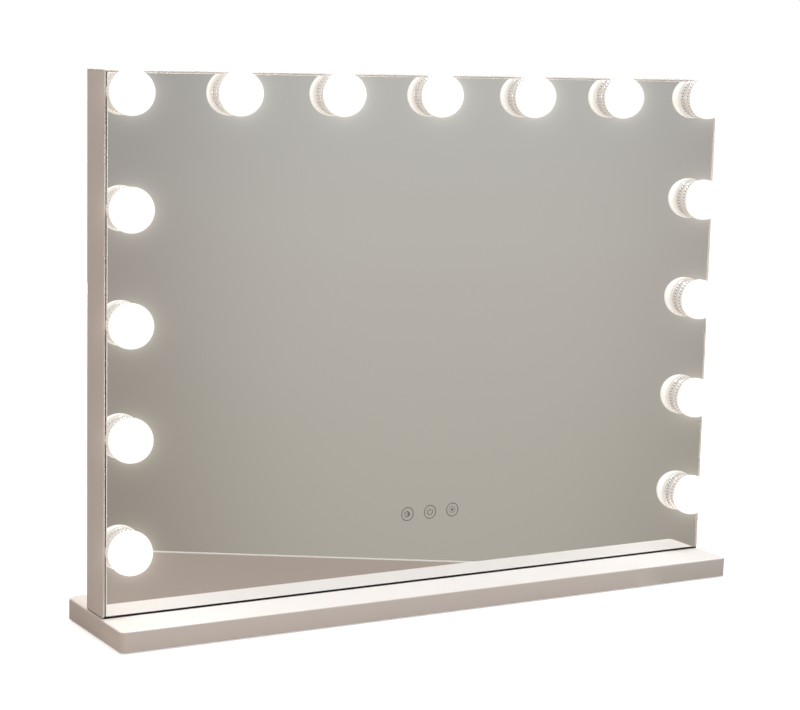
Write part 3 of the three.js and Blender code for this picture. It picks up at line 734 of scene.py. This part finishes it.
def rubber_foot(end, hand):
    """A round rubber foot with a soft lower rim."""
    node = f"rubber_foot_{end}_{hand}"
    low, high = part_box(node)
    radius = (high.x - low.x) / 2
    height = high.z - low.z
    profile = [(0.0, 0.0), (radius - 2.6 * MM, 0.0), (radius - 2.2 * MM, 0.0), (radius - 1.2 * MM, 0.0),
               (radius - 0.75 * MM, 0.12 * MM), (radius - 0.5 * MM, 0.4 * MM), (radius, height - 0.15 * MM),
               (radius - 0.05 * MM, height), (0.0, height)]
    mesh = revolve(node + "_pad", profile, 48)
    stand = Matrix.Translation(((low.x + high.x) / 2, (low.y + high.y) / 2, low.z))
    place(node + "_pad", mesh, RUBBER, stands_for=[node],
          matrix=stand @ Matrix.Rotation(math.pi / 2, 4, "X"))


base_tray()
painted_shade_strip()
base_cover()
for foot_end in ("front", "rear"):
    for foot_hand in ("left", "right"):
        rubber_foot(foot_end, foot_hand)

# ------------------------------------------------------------------ back

KEYHOLE_X = 150 * MM
KEYHOLE_Z = FRAME_TOP - 72 * MM
SCREW_INSET = 4.2 * MM
JACK_X = (JACK_LOW.x + JACK_HIGH.x) / 2
JACK_Z = (JACK_LOW.z + JACK_HIGH.z) / 2
USB_Y = (USB_LOW.y + USB_HIGH.y) / 2
USB_Z = (USB_LOW.z + USB_HIGH.z) / 2


def keyhole_loop(x):
    """Round below for the screw head, with a slot above for its shank. Clockwise."""
    head, slot, rise = 5 * MM, 2.5 * MM, 12 * MM
    neck = math.degrees(math.asin(slot / head))
    lower = arc(x, KEYHOLE_Z, head, 90 - neck, 90 + neck - 360, 40)
    upper = arc(x, KEYHOLE_Z + rise, slot, 180, 0, 16)
    return lower + upper


def back_panel():
    """The back cover, with two keyholes and a round hole for the power inlet."""
    outline = rectangle(PANEL_LOW.x, PANEL_LOW.z, PANEL_HIGH.x, PANEL_HIGH.z, 1.0 * MM)
    jack_hole = circle(JACK_X, JACK_Z, 6.4 * MM)
    loops = [outline, keyhole_loop(-KEYHOLE_X), keyhole_loop(KEYHOLE_X), jack_hole]
    mesh = slab("back_plate", loops, soft_edges(PANEL_LOW.y, PANEL_HIGH.y, 0.15 * MM), facing_front)
    place("back_plate", mesh, PAINT, stands_for=["back_panel"])


def screw_mesh():
    """A pan-head screw with a cross recess, its head towards +Y."""
    head = 3.1 * MM
    profile = [(0.0, 1.45 * MM), (1.2 * MM, 1.4 * MM), (2.1 * MM, 1.2 * MM), (2.75 * MM, 0.8 * MM),
               (head, 0.2 * MM), (head, 0.0), (1.4 * MM, 0.0), (1.4 * MM, -0.6 * MM), (0.0, -0.6 * MM)]
    body = bpy.data.objects.new("screw_blank", revolve("screw_blank", profile, 48))
    reach, half, deep = 1.9 * MM, 0.32 * MM, 0.75 * MM
    cross = [(reach, half), (half, half), (half, reach), (-half, reach), (-half, half), (-reach, half),
             (-reach, -half), (-half, -half), (-half, -reach), (half, -reach), (half, -half),
             (reach, -half)]
    rings = [[(x, y, z) for x, z in cross] for y in (deep, 3 * MM)]
    cutter = bpy.data.objects.new("screw_cutter", loft("screw_cutter", rings))
    for item in (body, cutter):
        bpy.context.scene.collection.objects.link(item)
    cut = body.modifiers.new("recess", "BOOLEAN")
    cut.object = cutter
    cut.operation = "DIFFERENCE"
    cut.solver = "EXACT"
    graph = bpy.context.evaluated_depsgraph_get()
    mesh = bpy.data.meshes.new_from_object(body.evaluated_get(graph))
    mesh.name = "pan_head_screw"
    mesh.set_sharp_from_angle(angle=math.radians(35))
    for item in (body, cutter):
        bpy.data.objects.remove(item)
    return mesh


def panel_screws():
    """Fourteen screws round the back cover, each turned by chance."""
    mesh = screw_mesh()
    side_x = PANEL_HIGH.x - SCREW_INSET
    top_z, low_z = PANEL_HIGH.z - SCREW_INSET, PANEL_LOW.z + SCREW_INSET
    spots = []
    for z in (top_z, low_z):
        spots += [(side_x * k / 2, z) for k in (-1.9, -0.95, 0, 0.95, 1.9)]
    for x in (-side_x, side_x):
        spots += [(x, low_z + (top_z - low_z) * k) for k in (0.3, 0.7)]
    for number, (x, z) in enumerate(spots, 1):
        turn = Matrix.Rotation(RNG.uniform(0, math.pi), 4, "Y")
        matrix = Matrix.Translation((x, PANEL_HIGH.y, z)) @ turn
        place(f"panel_screw_{number:02d}", mesh, ZINC, matrix=matrix)


def power_inlet():
    """A round socket with a rolled rim, a deep bore and its centre pin."""
    mouth, inner = JACK_HIGH.y, JACK_LOW.y
    panel = PANEL_LOW.y - 0.3 * MM
    bore = 3.2 * MM
    profile = [(0.0, inner), (5.8 * MM, inner), (6.0 * MM, inner + 0.2 * MM), (6.0 * MM, panel),
               (6.0 * MM, mouth - 0.35 * MM), (5.88 * MM, mouth - 0.1 * MM), (5.6 * MM, mouth),
               (bore + 0.5 * MM, mouth), (bore + 0.12 * MM, mouth - 0.12 * MM), (bore, mouth - 0.5 * MM),
               (bore, inner + 2 * MM), (0.0, inner + 2 * MM)]
    centre = Matrix.Translation((JACK_X, 0, JACK_Z))
    place("power_inlet_socket", revolve("power_inlet_socket", profile, 64), BLACK_PLASTIC,
          stands_for=["dc_jack"], matrix=centre)
    pin = 1.0 * MM
    tip = mouth - 2.5 * MM
    pin_profile = [(0.0, inner + 1.5 * MM), (pin, inner + 1.5 * MM), (pin, tip - 0.5 * MM),
                   (0.8 * pin, tip - 0.15 * MM), (0.45 * pin, tip), (0.0, tip)]
    pin_mesh = revolve("power_inlet_pin", pin_profile, 32)
    place("power_inlet_pin", pin_mesh, STEEL, matrix=centre)


def charging_socket():
    """A side socket: bezel, steel liner, tongue and four contacts."""
    outer_x = USB_HIGH.x
    wall_x = FRAME_X + 0.02 * MM
    half_y, half_z = 4.8 * MM, 9 * MM
    mouth_y, mouth_z = 2.4 * MM, 6.2 * MM
    outline = rectangle(USB_Y - half_y, USB_Z - half_z, USB_Y + half_y, USB_Z + half_z, 1.6 * MM)
    hole = rectangle(USB_Y - mouth_y, USB_Z - mouth_z, USB_Y + mouth_y, USB_Z + mouth_z, 0.3 * MM)[::-1]
    levels = [(0.0, wall_x), (0.0, outer_x - 0.5 * MM), (0.15 * MM, outer_x - 0.15 * MM),
              (0.5 * MM, outer_x)]
    place("usb_bezel", slab("usb_bezel", [outline, hole], levels, facing_right), BLACK_PLASTIC,
          stands_for=["usb_port"])
    deep = USB_LOW.x
    wall = 0.4 * MM
    liner_y, liner_z = mouth_y + wall, mouth_z + wall
    liner = rectangle(USB_Y - liner_y, USB_Z - liner_z, USB_Y + liner_y, USB_Z + liner_z, 0.5 * MM)
    levels = [(0.0, deep), (0.0, outer_x - 0.65 * MM)]
    place("usb_liner", slab("usb_liner", [liner, hole], levels, facing_right), STEEL)
    tongue_z = 5.4 * MM
    low_y, high_y = USB_Y - mouth_y + 0.3 * MM, USB_Y - 0.2 * MM
    tongue = rectangle(low_y, USB_Z - tongue_z, high_y, USB_Z + tongue_z, 0.2 * MM)
    levels = soft_edges(deep, outer_x - 1.6 * MM, 0.2 * MM)
    place("usb_tongue", slab("usb_tongue", [tongue], levels, facing_right), WHITE_PLASTIC)
    pitch = 2.4 * MM
    half = 0.5 * MM
    for number, step in enumerate((-1.5, -0.5, 0.5, 1.5), 1):
        z = USB_Z + step * pitch
        strip = rectangle(USB_Y - 0.25 * MM, z - half, USB_Y - 0.02 * MM, z + half, 0.05 * MM, 2)
        levels = soft_edges(deep + MM, outer_x - 2.4 * MM, 0.05 * MM)
        place(f"usb_contact_{number}", slab(f"usb_contact_{number}", [strip], levels, facing_right), GOLD)


back_panel()
panel_screws()
power_inlet()
charging_socket()

# ------------------------------------------------------------------ CAD nodes that stay

KEPT = {
    "glass_gasket": TAPE, "backing_board": BOARD, "wiring_harness": SLEEVE, "control_board": CIRCUIT,
    "touch_sensor_board": CIRCUIT, "socket_rail_top": WHITE_PLASTIC, "socket_rail_left": WHITE_PLASTIC,
    "socket_rail_right": WHITE_PLASTIC, "corner_bracket_top_left": ZINC, "corner_bracket_top_right": ZINC,
    "corner_bracket_bottom_left": ZINC, "corner_bracket_bottom_right": ZINC, "base_bolt_left": ZINC,
    "base_bolt_right": ZINC, "frame_nut_left": ZINC, "frame_nut_right": ZINC,
}


def dress_kept_nodes():
    """Gives each CAD node that isn't replaced its material and a slightly rounded edge."""
    for name, material in KEPT.items():
        node = frame["nodes"][name]
        node.data.materials.clear()
        node.data.materials.append(material)
        edge = node.modifiers.new("soft_edges", "BEVEL")
        edge.width = 0.15 * MM
        edge.segments = 2
        edge.limit_method = "ANGLE"
        edge.angle_limit = math.radians(40)
        edge.use_clamp_overlap = True


dress_kept_nodes()

# ------------------------------------------------------------------ stage, light and camera

TABLE_EDGE = ((-0.137, -0.288), (0.130, -0.118))  # two points that the table's near edge runs through
LIT_WALL_WAY = Vector((0.60, -1.0, -0.14))  # towards the brighter patch that the mirror shows
LIT_WALL_STRETCH = Vector((1.0, 1.0, 0.45))  # makes that patch taller than it is wide
LIT_WALL_RIM = 0.986
GLOW_LEVEL = 0.7
GLOW_SIZE = 0.09
GLOW_GAIN = 5.0


def stage_plane(name, corners, material):
    """A flat piece of the set, which isn't part of the object."""
    mesh = mesh_data(name, corners, [tuple(range(len(corners)))])
    mesh.materials.append(material)
    plane = bpy.data.objects.new(name, mesh)
    bpy.context.scene.collection.objects.link(plane)
    return plane


def pale_floor():
    """The floor that the camera sees. It neither tints the object nor shows in the mirror."""
    reach = 8.0
    material = surface("pale_floor", (0.93, 0.93, 0.93), 0.9, tint=(0.92, 0.92, 0.92), grain=3.0,
                       bump_depth=0.0, Emission_Color=(1, 1, 1, 1), Emission_Strength=0.6)
    corners = [(-reach, -reach, 0), (reach, -reach, 0), (reach, reach, 0), (-reach, reach, 0)]
    floor = stage_plane("pale_floor", corners, material)
    floor.visible_glossy = False
    floor.visible_diffuse = False
    floor.visible_shadow = False


def reflected_table():
    """The greige table top that shows only in reflections and warms the upright faces."""
    material = bpy.data.materials.new("greige_table")
    material.use_nodes = True
    nodes = Nodes(material.node_tree)
    shader = nodes.add("ShaderNodeBsdfDiffuse")
    output = nodes.add("ShaderNodeOutputMaterial")
    nodes.link(shader.outputs["BSDF"], output.inputs["Surface"])
    coords = nodes.add("ShaderNodeTexCoord").outputs["Object"]
    split = nodes.add("ShaderNodeSeparateXYZ")
    nodes.link(coords, split.inputs["Vector"])
    # The pale band along the table's near edge is a painted highlight on that edge.
    edge = nodes.remap(split.outputs["Y"], 0.0, 1.0, (0.004, 0.007))
    grain = nodes.noise(coords, 8.0)
    wood = nodes.mix(grain, (0.33, 0.272, 0.236), (0.36, 0.30, 0.262))
    nodes.link(nodes.mix(edge, (0.62, 0.59, 0.54), wood), shader.inputs["Color"])
    reach = 3.0
    corners = [(-reach, 0, 0), (reach, 0, 0), (reach, reach, 0), (-reach, reach, 0)]
    table = stage_plane("greige_table", corners, material)
    slope = math.atan2(TABLE_EDGE[1][1] - TABLE_EDGE[0][1], TABLE_EDGE[1][0] - TABLE_EDGE[0][0])
    table.matrix_world = Matrix.Translation((*TABLE_EDGE[0], -MM)) @ Matrix.Rotation(slope, 4, "Z")
    table.visible_camera = False
    table.visible_shadow = False


def world_light():
    """White behind the object. Everything else sees a soft room: pale above, greige low down."""
    world = bpy.data.worlds.new("soft_room")
    bpy.context.scene.world = world
    world.use_nodes = True
    nodes = Nodes(world.node_tree)
    coords = nodes.add("ShaderNodeTexCoord").outputs["Generated"]
    split = nodes.add("ShaderNodeSeparateXYZ")
    nodes.link(coords, split.inputs["Vector"])
    ramp = nodes.add("ShaderNodeValToRGB")
    stops = ((-1.0, (0.24, 0.205, 0.175)), (-0.24, (0.312, 0.275, 0.232)), (-0.17, (0.335, 0.300, 0.258)),
             (-0.085, (0.372, 0.338, 0.312)), (0.0, (0.380, 0.368, 0.352)), (0.35, (0.44, 0.41, 0.38)),
             (1.0, (0.60, 0.56, 0.52)))
    while len(ramp.color_ramp.elements) < len(stops):
        ramp.color_ramp.elements.new(0.5)
    for element, (height, color) in zip(ramp.color_ramp.elements, stops):
        element.position = (height + 1) / 2
        element.color = (*color, 1.0)
    nodes.link(nodes.remap(split.outputs["Z"], 0.0, 1.0, (-1.0, 1.0)), ramp.inputs["Fac"])
    flatten = nodes.add("ShaderNodeVectorMath")
    flatten.operation = "MULTIPLY"
    flatten.inputs[1].default_value = LIT_WALL_STRETCH
    nodes.link(coords, flatten.inputs[0])
    level = nodes.add("ShaderNodeVectorMath")
    level.operation = "NORMALIZE"
    nodes.link(flatten.outputs["Vector"], level.inputs[0])
    toward = nodes.add("ShaderNodeVectorMath")
    toward.operation = "DOT_PRODUCT"
    toward.inputs[1].default_value = (LIT_WALL_WAY * LIT_WALL_STRETCH).normalized()
    nodes.link(level.outputs["Vector"], toward.inputs[0])
    spot = nodes.add("ShaderNodeMapRange")
    spot.interpolation_type = "SMOOTHSTEP"
    spot.inputs["From Min"].default_value = LIT_WALL_RIM
    spot.inputs["From Max"].default_value = 1.0
    nodes.link(toward.outputs["Value"], spot.inputs["Value"])
    lit_wall = nodes.add("ShaderNodeMix")
    lit_wall.data_type = "RGBA"
    lit_wall.blend_type = "ADD"
    lit_wall.inputs[7].default_value = (0.14, 0.147, 0.14, 1.0)
    nodes.link(spot.outputs["Result"], lit_wall.inputs[0])
    nodes.link(ramp.outputs["Color"], lit_wall.inputs[6])
    room = nodes.add("ShaderNodeBackground", Strength=1.0)
    nodes.link(lit_wall.outputs[2], room.inputs["Color"])
    paper = nodes.add("ShaderNodeBackground", Strength=1.0)
    paper.inputs["Color"].default_value = (1, 1, 1, 1)
    pick = nodes.add("ShaderNodeMixShader")
    nodes.link(nodes.add("ShaderNodeLightPath").outputs["Is Camera Ray"], pick.inputs["Fac"])
    nodes.link(room.outputs["Background"], pick.inputs[1])
    nodes.link(paper.outputs["Background"], pick.inputs[2])
    output = nodes.add("ShaderNodeOutputWorld")
    nodes.link(pick.outputs["Shader"], output.inputs["Surface"])


def area_light(name, position, target, size, power, color, shines=True):
    """A square lamp aimed at target. shines says whether glossy surfaces show it."""
    data = bpy.data.lights.new(name, "AREA")
    data.shape = "SQUARE"
    data.size = size
    data.energy = power
    data.color = color
    lamp = bpy.data.objects.new(name, data)
    bpy.context.scene.collection.objects.link(lamp)
    away = Vector(position) - Vector(target)
    lamp.matrix_world = Matrix.Translation(position) @ away.to_track_quat("Z", "Y").to_matrix().to_4x4()
    lamp.visible_glossy = shines


def bulb_lights():
    """The light that each globe throws on what is close to it."""
    for joint in BULB_JOINTS:
        data = bpy.data.lights.new("light_" + joint["child"], "POINT")
        data.shadow_soft_size = 0.8 * GLOBE_RADIUS
        data.energy = 0.11
        data.color = (1.0, 0.95, 0.88)
        lamp = bpy.data.objects.new("light_" + joint["child"], data)
        bpy.context.scene.collection.objects.link(lamp)
        lamp.location = (joint["pos_m"][0], GLOBE_CENTRE, joint["pos_m"][2])
        lamp.visible_camera = False
        lamp.visible_glossy = False


def bulb_halo():
    """The soft glow that a lens shows round the lit globes."""
    scene = bpy.context.scene
    bpy.context.view_layer.use_pass_emit = True
    scene.use_nodes = True
    nodes = Nodes(scene.node_tree)
    layers = nodes.add("CompositorNodeRLayers")
    glare = nodes.add("CompositorNodeGlare")
    glare.glare_type = "BLOOM"
    glare.inputs["Threshold"].default_value = GLOW_LEVEL
    glare.inputs["Strength"].default_value = 1.0
    glare.inputs["Size"].default_value = GLOW_SIZE
    glare.inputs["Tint"].default_value = (1.0, 0.95, 0.86, 1.0)
    nodes.link(layers.outputs["Emit"], glare.inputs["Image"])
    gain = nodes.add("CompositorNodeMixRGB")
    gain.blend_type = "MULTIPLY"
    gain.inputs[2].default_value = (GLOW_GAIN, GLOW_GAIN, GLOW_GAIN, 1.0)
    nodes.link(glare.outputs["Glare"], gain.inputs[1])
    add = nodes.add("CompositorNodeMixRGB")
    add.blend_type = "ADD"
    nodes.link(layers.outputs["Image"], add.inputs[1])
    nodes.link(gain.outputs["Image"], add.inputs[2])
    output = nodes.add("CompositorNodeComposite")
    nodes.link(add.outputs["Image"], output.inputs["Image"])


def camera():
    """Stands to the left and a little above, as far off as the lens needs."""
    data = bpy.data.cameras.new("camera")
    data.sensor_width = 36.0
    data.lens = 94.2
    data.clip_end = 50.0
    eye = bpy.data.objects.new("camera", data)
    bpy.context.scene.collection.objects.link(eye)
    position = (-0.8821, -1.5101, 0.4596)
    yaw, pitch, roll = 0.5201, 0.1423, 0.0223
    turn = (Matrix.Rotation(-yaw, 4, "Z") @ Matrix.Rotation(math.pi / 2 - pitch, 4, "X")
            @ Matrix.Rotation(roll, 4, "Z"))
    eye.matrix_world = Matrix.Translation(position) @ turn
    bpy.context.scene.camera = eye


pale_floor()
reflected_table()
world_light()
area_light("overhead", (0.15, -0.36, 2.0), (0, 0, 0.1), 0.5, 26, (0.88, 0.97, 1.04))
area_light("warm_left", (-2.4, -1.0, 1.6), (0, 0, 0.3), 1.4, 10, (1.0, 0.78, 0.67), shines=False)
area_light("soft_back", (0.5, 2.4, 0.25), (0, 0, 0.2), 1.4, 22, (1.0, 0.97, 0.94))
bulb_lights()
bulb_halo()
camera()
bpy.context.scene.view_settings.view_transform = "Standard"
